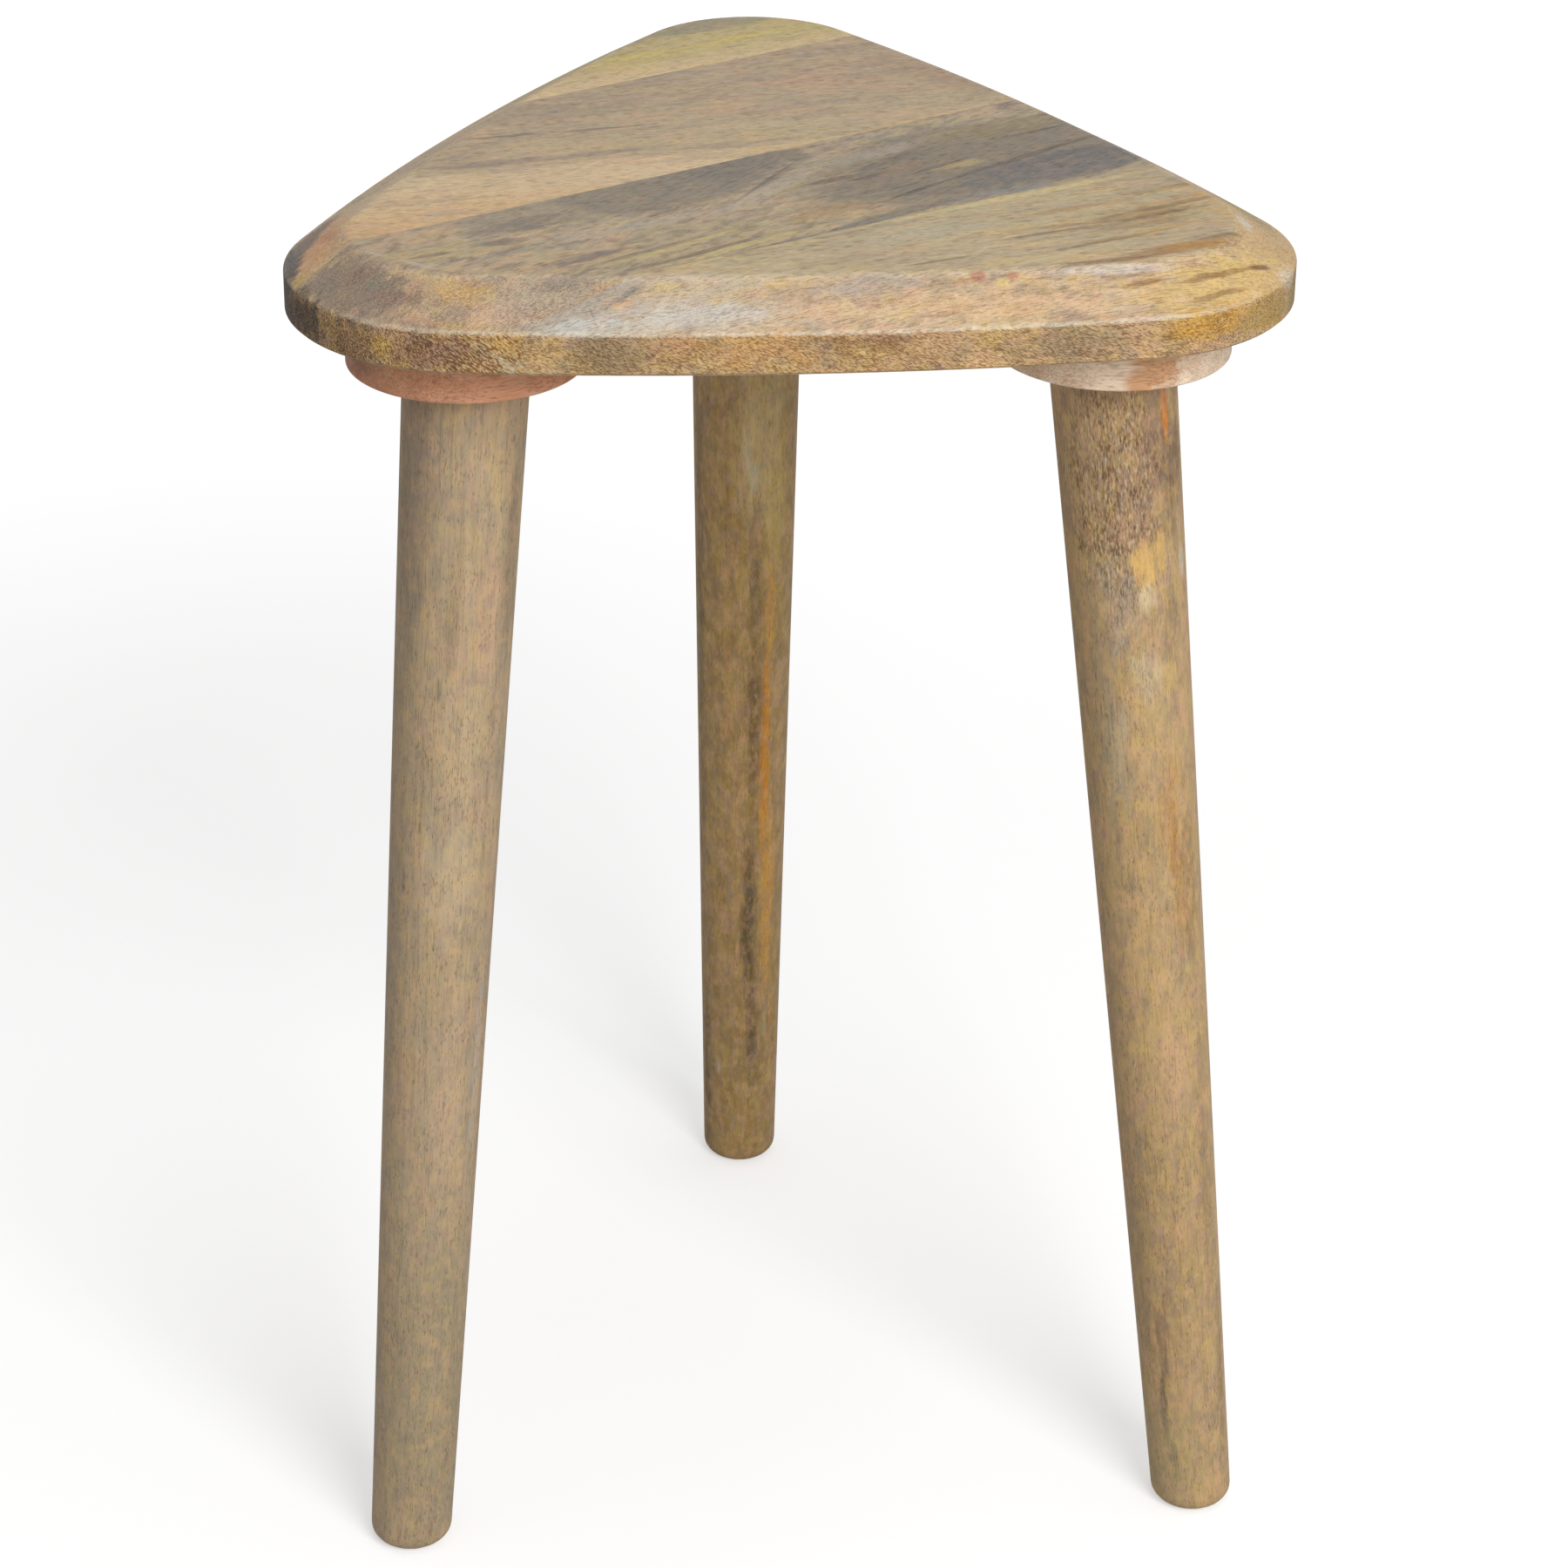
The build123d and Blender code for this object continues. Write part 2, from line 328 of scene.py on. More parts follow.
def make_clouds():
    """Wide soft patches of three other tints: straw, pink and mineral grey."""
    tree, wiring, given, result = new_group(
        "wood clouds",
        [
            ("Color", "Color"),
            ("Vector", "Vector"),
            ("Straw Amount", "Float", 0.3),
            ("Pink Amount", "Float", 0.2),
            ("Grey Amount", "Float", 0.3),
            ("Length", "Float", 45.0),
            ("Width", "Float", 14.0),
        ],
        [("Color", "Color")],
    )
    cells = wiring.stretch_by(given["Vector"], given["Length"], given["Width"])
    clouds = wiring.channels(wiring.noise(cells, detail=4.0, roughness=0.6)["Color"])
    tints = (
        ("Straw Amount", "X", (222, 188, 112)),
        ("Pink Amount", "Y", (224, 172, 140)),
        ("Grey Amount", "Z", (136, 126, 120)),
    )
    colour = given["Color"]
    for amount, channel, tint in tints:
        factor = wiring.times(wiring.smooth_range(clouds[channel], *CLOUD), given[amount])
        colour = wiring.mix(factor, colour, screen(*tint))
    wiring.link(colour, result["Color"])
    return tree


def make_ragged():
    """Ragged value round zero that frays the edges of stains along the fibres."""
    tree, wiring, given, result = new_group("ragged fibres", [("Vector", "Vector")], [("Ragged", "Float")])
    cells = wiring.stretch(given["Vector"], *RAGGED_CELL)
    ragged = wiring.noise(cells, detail=5.0, roughness=0.65)["Fac"]
    wiring.link(wiring.minus(ragged, 0.5), result["Ragged"])
    return tree


def make_stain():
    """Mask of one local patch: full inside a ball of radius one, with a frayed edge."""
    tree, wiring, given, result = new_group(
        "wood stain",
        [("Place", "Vector"), ("Ragged", "Float", 0.0), ("Softness", "Float", 0.6), ("Fray", "Float", 0.5)],
        [("Mask", "Float")],
    )
    reach = wiring.length(given["Place"])
    reach = wiring.math("MULTIPLY_ADD", given["Ragged"], wiring.times(given["Fray"], 2.0), reach)
    inner = wiring.minus(1.0, given["Softness"])
    mask = wiring.smooth_range(reach, inner, 1.0, 1.0, 0.0)
    wiring.link(mask, result["Mask"])
    return tree


def make_zones():
    """Masks of the top's bevel and side. Place is in millimetres, with Z above the floor."""
    tree, wiring, given, result = new_group(
        "bevel and side", [("Place", "Vector")], [("Bevel", "Float"), ("Side", "Float")]
    )
    height = wiring.channels(given["Place"])["Z"]
    below_top = wiring.smooth_range(height, TABLE_HEIGHT - 0.2, TABLE_HEIGHT - 1.2)
    below_bevel = wiring.smooth_range(height, RIDGE_HEIGHT + 0.3, RIDGE_HEIGHT - 0.7)
    above_underside = wiring.smooth_range(height, UNDERSIDE_HEIGHT + 0.1, UNDERSIDE_HEIGHT + 0.6)
    wiring.link(wiring.minus(below_top, below_bevel), result["Bevel"])
    wiring.link(wiring.times(below_bevel, above_underside), result["Side"])
    return tree


def make_worn_and_highlit_arrises():
    """The top's arrises made pale: a painted highlight along the ridge, and the top arris worn pale by
    sanding, with painted highlight as well. Place is in millimetres, with Z above the floor.
    """
    tree, wiring, given, result = new_group(
        "rubbed arrises",
        [
            ("Color", "Color"),
            ("Place", "Vector"),
            ("Rubbed", "Color", screen(232, 222, 202)),
            ("Amount", "Float", 0.5),
        ],
        [("Color", "Color")],
    )
    height = wiring.channels(given["Place"])["Z"]
    # The ridge gets a painted highlight; the top arris gets wear and painted highlight at a smaller share
    ridge_gap = wiring.math("ABSOLUTE", wiring.minus(height, RIDGE_HEIGHT))
    ridge = wiring.smooth_range(ridge_gap, 1.0, 0.2)
    below_top = wiring.smooth_range(height, TABLE_HEIGHT - 0.02, TABLE_HEIGHT - 0.25)
    above_bevel = wiring.smooth_range(height, TABLE_HEIGHT - 2.4, TABLE_HEIGHT - 0.6)
    rim = wiring.times(below_top, above_bevel)
    rubbed_and_lit = wiring.math("MAXIMUM", ridge, wiring.times(rim, 0.4))
    patches = wiring.noise(given["Place"], detail=5.0, roughness=0.8, scale=0.25)["Fac"]
    rubbed_and_lit = wiring.times(rubbed_and_lit, wiring.smooth_range(patches, 0.35, 0.6, 0.2, 1.0))
    paler = wiring.mix(wiring.times(rubbed_and_lit, given["Amount"]), given["Color"], given["Rubbed"])
    wiring.link(paler, result["Color"])
    return tree


figure_group = make_figure()
fibres_group = make_fibres()
flecks_group = make_flecks()
clouds_group = make_clouds()
ragged_group = make_ragged()
stain_group = make_stain()
zones_group = make_zones()
arris_wear_and_highlight_group = make_worn_and_highlit_arrises()


# Woods

BUMP_DEPTH = 0.12
BUMP_STRENGTH = 0.6
LACQUER_IOR = 1.38


class Wood:
    """One piece's wood, in layers from the ground colour to the lacquer, laid in the order of the calls."""

    def __init__(self, node, name, centre, turn):
        self.node = node
        self.material = bpy.data.materials.new(name)
        self.wiring = empty_wiring(self.material)
        self.turn = turn
        self.grain = self.wiring.place(centre, turn)
        self.place = self.wiring.place(ORIGIN)
        self.ragged = self.use_group(ragged_group, vector=self.grain)["Ragged"]
        self.colour = None
        self.cuts = 0.0

    def use_group(self, group, **inputs):
        named = {key.replace("_", " ").title(): value for key, value in inputs.items()}
        return self.wiring.node("ShaderNodeGroup", named, node_tree=group).outputs

    def pass_through(self, group, **inputs):
        """Takes the colour through a group that changes it, and gives the group's outputs."""
        outputs = self.use_group(group, color=self.colour, **inputs)
        self.colour = outputs["Color"]
        return outputs

    def lay(self, colour, mask, amount):
        """Lays a colour over the wood where the mask is."""
        self.colour = self.wiring.mix(self.wiring.times(mask, amount), self.colour, colour)

    def patch(self, centre, turn, size, fray, softness):
        """Mask of an ellipsoid of half sizes in millimetres, with an edge that frays along the fibres."""
        place = self.wiring.place(centre, turn, size)
        edge = dict(ragged=self.ragged, softness=softness, fray=fray)
        return self.use_group(stain_group, place=place, **edge)["Mask"]

    def ground(self, *bands, wander=6.0):
        """Ground colours by their place across the grain. Each blends into the next."""
        wiring = self.wiring
        across = wiring.channels(self.grain)["Y"]
        drift = wiring.noise(wiring.stretch(self.grain, *GROUND_CELL), detail=3.0)["Fac"]
        across = wiring.math("MULTIPLY_ADD", wiring.minus(drift, 0.5), 2 * wander, across)
        first, last = bands[0][0], bands[-1][0]
        share = wiring.math("DIVIDE", wiring.minus(across, first), last - first)
        stops = [((place - first) / (last - first), screen(*colour)) for place, colour in bands]
        self.colour = wiring.ramp(share, stops)

    def figure(self, dark, light, dark_amount, light_amount, **bands):
        tones = dict(dark=screen(*dark), light=screen(*light))
        amounts = dict(dark_amount=dark_amount, light_amount=light_amount)
        self.pass_through(figure_group, vector=self.grain, **tones, **amounts, **bands)

    def clouds(self, straw, pink, grey, **cell):
        tints = dict(straw_amount=straw, pink_amount=pink, grey_amount=grey)
        self.pass_through(clouds_group, vector=self.grain, **tints, **cell)

    def stain(self, colour, centre, size, angle=0.0, amount=0.7, fray=0.5, softness=0.6, turn=None):
        """A local patch, turned in plan by an angle in degrees, or turned freely."""
        self.lay(screen(*colour), self.patch(centre, turn or in_plan(angle), size, fray, softness), amount)

    def stains(self, *rows):
        """Stains by rows of colour, centre, half sizes, angle, amount, fray and softness."""
        for row in rows:
            self.stain(*row)

    def marks(self, *rows):
        """Stains along the grain: colour, centre, half length, half width, amount, fray and softness."""
        for colour, centre, length, width, *look in rows:
            self.stain(colour, centre, (length, width, width), 0.0, *look, turn=self.turn)

    def streak(self, colour, start, end, width, *look, height=TABLE_HEIGHT, depth=5.0):
        """A stain drawn out along a line in plan, at a height above the floor."""
        (x0, y0), (x1, y1) = start, end
        half = math.hypot(x1 - x0, y1 - y0) / 2 + width
        centre = ((x0 + x1) / 2, (y0 + y1) / 2, height)
        self.stain(colour, centre, (half, width, depth), math.degrees(math.atan2(y1 - y0, x1 - x0)), *look)

    def streaks(self, *rows, **level):
        """Streaks by rows of colour, start, end, half width, amount, fray and softness."""
        for row in rows:
            self.streak(*row, **level)

    def speckle(self, centre, size, amount=1.0, **look):
        """Flecks inside one patch that lies along the grain."""
        mask = self.wiring.times(self.patch(centre, self.turn, size, 0.5, 0.7), amount)
        self.pass_through(flecks_group, vector=self.grain, mask=mask, **look)

    def tint_cuts_and_shade(self, bevel, side, bevel_amount=0.7, side_amount=0.75, mottle=0.35):
        """Mottled tones of their own for the bevel and side, which are cut across the fibres; on the
        mid-rear board, also painted light and shade.
        """
        zones = self.use_group(zones_group, place=self.place)
        tints = dict(straw_amount=mottle, pink_amount=mottle, grey_amount=mottle, length=11.0, width=8.0)
        for colour, zone, amount in ((bevel, "Bevel", bevel_amount), (side, "Side", side_amount)):
            mottled = self.use_group(clouds_group, color=screen(*colour), vector=self.place, **tints)
            self.lay(mottled["Color"], zones[zone], amount)

    def fleck_cuts(self, dip, angle, bevel=0.4, side=0.8, **look):
        """Flecks on the bevel and side, along a direction that dips below the plan angle of the grain."""
        zones = self.use_group(zones_group, place=self.place)
        side_mask = self.wiring.times(zones["Side"], side)
        mask = self.wiring.math("MULTIPLY_ADD", zones["Bevel"], bevel, side_mask)
        along = self.wiring.place(ORIGIN, (0.0, math.radians(dip), math.radians(angle)))
        self.cuts = self.pass_through(flecks_group, vector=along, mask=mask, **look)["Height"]

    def rub_and_highlight_arrises(self, amount, spared=None):
        """Makes the arrises pale: wear from sanding and a painted highlight. An ellipsoid may be spared, by
        its centre and half sizes.
        """
        if spared:
            place = self.wiring.place(spared[0], size=spared[1])
            left_out = self.use_group(stain_group, place=place, softness=0.6, fray=0.0)["Mask"]
            amount = self.wiring.math("MULTIPLY_ADD", left_out, -amount, amount)
        self.pass_through(arris_wear_and_highlight_group, place=self.place, amount=amount)

    def lacquer(self, **amounts):
        """Adds the fibres and pores under the lacquer, ends the material and gives it to the node."""
        outputs = self.pass_through(fibres_group, vector=self.grain, **amounts)
        height = self.wiring.math("ADD", outputs["Height"], self.cuts)
        relief = {"Height": height, "Distance": BUMP_DEPTH * MM, "Strength": BUMP_STRENGTH}
        inputs = {
            "Base Color": outputs["Color"],
            "Roughness": outputs["Roughness"],
            "Normal": self.wiring.node("ShaderNodeBump", relief).outputs[0],
            "IOR": LACQUER_IOR,
        }
        shader = self.wiring.node("ShaderNodeBsdfPrincipled", inputs)
        self.wiring.node("ShaderNodeOutputMaterial", {"Surface": shader.outputs[0]})
        dress(self.node, self.material)


def dress(node, material):
    """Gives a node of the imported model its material."""
    slots = frame["nodes"][node].material_slots
    for slot in slots:
        slot.material = material
    if not slots:
        frame["nodes"][node].data.materials.append(material)


BOARD_GRAIN = dict(fibre_amount=0.16, fibre_length=2.2, pore_length=5)
BOARD_MOTTLE = dict(straw=0.14, pink=0.12, grey=0.14, length=9, width=5)


def board_wood(board, centre, grain_angle):
    """A board's wood runs level, at an angle in plan. Its bands of colour are counted from the centre."""
    return Wood(f"top_{board}", f"{board} wood", (*centre, TABLE_HEIGHT), in_plan(grain_angle))


def dress_rear_board():
    wood = board_wood("board_rear", (-20, 77), 24)
    wood.ground(
        (-30, (222, 196, 148)),
        (-6, (222, 196, 148)),
        (6, (204, 184, 136)),
        (16, (198, 180, 118)),
        (30, (188, 172, 118)),
        (44, (170, 156, 116)),
        (70, (164, 146, 110)),
        wander=5,
    )
    wood.clouds(0.3, 0.15, 0.2)
    wood.figure((146, 130, 86), (212, 192, 142), 0.35, 0.35, band_width=3, band_length=16)
    wood.tint_cuts_and_shade((190, 166, 130), (176, 142, 100), bevel_amount=0.35)
    wood.streaks(
        ((146, 140, 114), (-50, 106), (12, 134), 9, 0.85, 0.5, 0.5),
        ((206, 188, 92), (-60, 79), (-24, 95), 2.6, 0.85),
        ((208, 192, 98), (-29, 92), (18, 118), 2.2, 0.85),
        ((184, 168, 92), (-60, 72), (-20, 88), 4, 0.5),
        ((204, 184, 132), (-30, 78), (8, 98), 5, 0.5),
    )
    wood.clouds(**BOARD_MOTTLE)
    wood.fleck_cuts(20, 24, bevel=0.4)
    wood.rub_and_highlight_arrises(0.3)
    wood.lacquer(**BOARD_GRAIN)


def dress_mid_rear_board():
    wood = board_wood("board_mid_rear", (-60, -10), 13)
    wood.ground(
        (-60, (214, 176, 128)),
        (-30, (220, 194, 152)),
        (-18, (214, 189, 150)),
        (-13, (188, 168, 132)),
        (0, (184, 166, 132)),
        (20, (178, 160, 130)),
        (45, (172, 154, 126)),
        (80, (174, 154, 126)),
        (115, (178, 150, 120)),
        wander=5,
    )
    wood.clouds(0.15, 0.25, 0.3, length=40, width=9)
    wood.figure((134, 108, 88), (204, 184, 150), 0.3, 0.28, band_width=2.6, band_length=13)
    # Painted light and shade: the bevel's tint is pale to offset the shade of a bevel that faces away from
    # the lamps, and the dark side tint holds painted shade besides the side's own tone
    wood.tint_cuts_and_shade((236, 210, 168), (112, 84, 60), bevel_amount=0.3, side_amount=0.85)
    grey, brown = (138, 124, 112), (114, 96, 82)
    wood.stain((156, 138, 118), (-84, 24, 500), (46, 14, 8), 12, 0.5, 0.9)
    wood.streaks(
        ((216, 190, 152), (-92, -50), (-30, -33), 10, 0.85, 0.5, 0.4),
        ((208, 184, 134), (-30, -29), (36, -1), 3, 0.75),
        ((214, 178, 126), (20, -6), (94, 31), 3, 0.8),
        (grey, (-122, -33), (-73, -22), 4, 0.75, 0.5, 0.5),
        (grey, (-82, -25), (-44, -15), 2.8, 0.65, 0.7, 0.5),
        ((150, 136, 122), (-60, -17), (-30, -11), 2.2, 0.5, 0.8),
        (brown, (-112, -4), (-74, 4), 1.5, 0.75, 0.5, 0.5),
        (brown, (-80, 2), (-40, 10.5), 1.2, 0.75, 0.5, 0.5),
    )
    wood.stain((156, 140, 114), (-114, -25, 499), (17, 8, 6), 12, 0.55, 0.9)
    wood.streaks(
        ((150, 134, 118), (-52, 57), (-16, 77), 4, 0.7, 0.5, 0.7),
        ((162, 132, 110), (40, 84), (84, 36), 14, 0.55, 0.5, 0.9),
        ((186, 144, 120), (-8, 50), (46, 58), 6, 0.35, 0.9),
        ((194, 176, 142), (-26, 4), (40, 14), 6, 0.5, 0.9),
    )
    wood.stain((208, 152, 104), (-157, -82, 494), (14, 34, 12), -12, 0.75)
    wood.clouds(**BOARD_MOTTLE)
    # Painted shade: dark bands along the far-left ridge, where the bevel turns away from the lamps and is
    # seen edge-on
    wood.streak((78, 73, 68), (-169, -112), (-167, -78), 8, 0.9, 0.5, 0.4, height=489, depth=9)
    wood.streak((88, 82, 76), (-168, -102), (-150, -50), 6.5, 0.8, height=490, depth=9)
    wood.stains(
        ((214, 186, 106), (-148, -82, 499), (6, 4, 4), 0, 0.6),
        ((206, 176, 96), (-162, -108, 489), (4, 5, 5)),
        ((188, 128, 96), (-152, -86, 496), (7, 7, 4), 0, 0.5),
        # Painted shade on the far-left side, which faces away from the lamps
        ((74, 60, 46), (-170, -102, 479), (18, 36, 13), 0, 0.95, 0.6, 0.8),
    )
    wood.fleck_cuts(20, 13, bevel=0.35)
    wood.rub_and_highlight_arrises(0.2)
    wood.lacquer(**BOARD_GRAIN)


def dress_mid_front_board():
    wood = board_wood("board_mid_front", (-10, -60), 34)
    wood.ground(
        (-60, (178, 160, 122)),
        (-20, (170, 154, 124)),
        (10, (166, 152, 128)),
        (60, (166, 150, 122)),
        wander=9,
    )
    wood.clouds(0.3, 0.25, 0.35, length=26, width=9)
    wood.figure((96, 86, 76), (206, 188, 140), 0.5, 0.4, band_width=3, band_length=10, wander=14)
    wood.tint_cuts_and_shade((194, 170, 140), (196, 158, 98), bevel_amount=0.75, side_amount=0.9, mottle=0.45)
    slate, lilac, umber = (108, 102, 94), (178, 166, 148), (88, 76, 64)
    wood.stains(
        ((116, 108, 94), (70, -34, 500), (88, 42, 12), 28, 0.85, 0.3, 0.45),
        ((150, 138, 116), (-57.8, -51.9, 500), (76, 29, 12), 29.5, 0.7, 0.3, 0.3),
        (slate, (-40.6, -30, 500), (58, 40, 12), 60, 0.55, 0.14, 0.14),
        (slate, (-14, -34, 500), (34, 16, 12), 34, 0.6, 0.4, 0.7),
    )
    wood.streaks(
        ((124, 116, 102), (22, -24), (66, 6), 7, 0.6, 0.6, 0.8),
        ((88, 82, 76), (8, -28), (-16, -66), 3.2, 0.55, 0.5, 0.8),
    )
    wood.stain((98, 94, 88), (5, -25, 500), (7, 9, 5), 30, 0.6, 0.5, 0.5)
    wood.streaks(
        (lilac, (14, -34), (-30, -87), 5, 0.6, 0.6),
        (lilac, (-26, -79), (-90, -108), 5.5, 0.6, 0.8),
        ((170, 160, 144), (16, -36), (50, -12), 6, 0.5, 0.8),
        ((96, 88, 80), (12, -18), (-24, -79), 1.1, 0.7, 0.5, 0.8),
        ((98, 90, 82), (4, -22), (-34, -70), 0.9, 0.6, 0.6, 0.8),
        ((98, 90, 82), (-8, -24), (-46, -62), 0.8, 0.6, 0.6, 0.8),
        (umber, (4, -56), (28, -44), 2.8, 0.75, 0.7),
        (umber, (20, -53), (36, -42), 2.2, 0.75, 0.7),
        ((106, 94, 84), (24, -42), (47, -24), 2.8, 0.65, 0.8),
        ((150, 116, 88), (28, -49), (50, -30), 4.5, 0.35, 0.9),
        ((104, 100, 98), (62, -55), (134, -20), 13, 0.88, 0.3, 0.3),
        ((134, 133, 130), (46, -76), (98, -53), 4.4, 0.7, 0.5, 0.7),
        ((98, 92, 90), (76, -42), (122, -14), 6, 0.6, 0.9, 0.8),
        (umber, (24, -77), (62, -46), 1.4, 0.8, 0.4, 0.5),
        (umber, (54, -52), (114, -6), 2, 0.8, 0.4),
        (umber, (38, -49), (67, -28), 1.2, 0.75, 0.4, 0.5),
        (umber, (76, -11), (103, 3), 1.4, 0.75, 0.4, 0.5),
        (umber, (32, -62), (50, -50), 1, 0.6, 0.5, 0.5),
        ((140, 124, 88), (54, -12), (102, 12), 10, 0.65, 0.7),
        ((190, 168, 108), (52, -41), (72, -30.5), 3.4, 0.65, 0.9, 0.8),
        ((164, 132, 90), (-2, -88), (24, -73), 7, 0.55, 1.1),
    )
    wood.stain(umber, (25.5, -79, 500), (4, 3, 5), 40, 0.5, 0.9, 0.9)
    wood.streaks(
        ((108, 104, 102), (-34, -128), (12, -98), 2.4, 0.8, 0.4, 0.5),
        ((112, 106, 100), (8, -101), (60, -67), 3.4, 0.8, 0.4, 0.5),
        (slate, (-106, -96), (-74, -80), 7, 0.65, 0.8),
        ((118, 110, 98), (-92, -76), (-88, -96), 4, 0.5, 1.2, 0.9),
    )
    wood.streaks(
        ((198, 186, 162), (-146, -105.5), (-132, -117), 1.3, 0.7, 0.5, 0.8),
        ((194, 184, 162), (-133, -116.5), (-117, -127), 1.3, 0.7, 0.5, 0.8),
        depth=3,
    )
    wood.streaks(
        ((192, 172, 118), (-138, -116), (-98, -108), 7, 0.6, 0.8),
        ((194, 176, 118), (-68, -129), (-14, -92), 2.8, 0.75, 0.6),
        ((198, 180, 118), (-46, -129), (4, -96), 2.4, 0.75, 0.6),
        ((112, 102, 90), (-60, -135), (-6, -98), 1.7, 0.75, 0.6),
        ((118, 106, 92), (-76, -132), (-24, -97), 1.8, 0.65, 0.7),
        ((112, 98, 86), (-104, -107), (-88, -101), 3.4, 0.6, 0.9),
        ((96, 90, 90), (-78, -124), (-58, -113), 4, 0.7, 0.9),
        ((106, 96, 88), (-128, -118), (-110, -111), 1.6, 0.7, 0.7),
    )
    purple = (138, 112, 102)
    wood.stains(
        ((142, 128, 114), (-146, -124, 493), (30, 18, 12), -36, 0.8, 0.9, 0.5),
        (purple, (-143, -121, 495), (9, 6, 5), 0, 0.55, 1.2),
        (purple, (-131, -135, 492), (13, 6, 6), -30, 0.55, 1.2),
        ((132, 132, 116), (-137, -127, 496), (5, 5, 3), 0, 0.6, 1),
        ((222, 182, 104), (-109, -139, 496), (14, 7, 5), -20, 0.5, 1.3),
        ((214, 178, 152), (-98, -148, 492), (16, 6, 5), 0, 0.5, 1),
        ((180, 168, 150), (-84, -141, 495), (26, 12, 9), 8, 0.6, 0.7, 0.8),
        ((112, 106, 104), (-76, -136, 498), (16, 5, 4), 20, 0.5, 1.3),
        ((192, 190, 180), (-78, -152, 490), (18, 6, 4), 0, 0.6, 1),
        # Painted shade on the side at the left corner, which faces away from the lamps
        ((78, 61, 43), (-163, -120, 481), (17, 15, 10), 0, 0.92, 1, 0.5),
        ((130, 104, 70), (-147, -138, 480), (14, 9, 9), 0, 0.7, 1),
        ((208, 172, 84), (-136, -145, 481), (5, 4, 6)),
        ((152, 112, 84), (-120, -151, 481), (18, 9, 9), 0, 0.75, 1),
        ((226, 178, 102), (-96, -155, 485), (12, 6, 5), 0, 0.5, 1),
    )
    wood.clouds(0.08, 0.08, 0.12, length=9, width=5)
    wood.fleck_cuts(38, 10, bevel=0.4, side=1, length=2.8, width=0.44, share=0.55, dark_amount=0.75)
    # Pale rays in the end grain of the side, by place, height and half length
    tilt = (0, math.radians(30), 0)
    rays = (
        (-99.5, 480.4, 3.5),
        (-97.5, 478.4, 4.5),
        (-96.5, 477, 3.5),
        (-93, 477.8, 4.5),
        (-90.5, 478.4, 3),
        (-97, 475.6, 2.5),
    )
    for x, z, reach in rays:
        wood.stain((216, 202, 170), (x, -155, z), (reach, 6, 0.55), amount=0.6, fray=0.9, turn=tilt)
    wood.rub_and_highlight_arrises(0.4, spared=((-165, -105, 488), (50, 50, 30)))
    wood.lacquer(**BOARD_GRAIN)


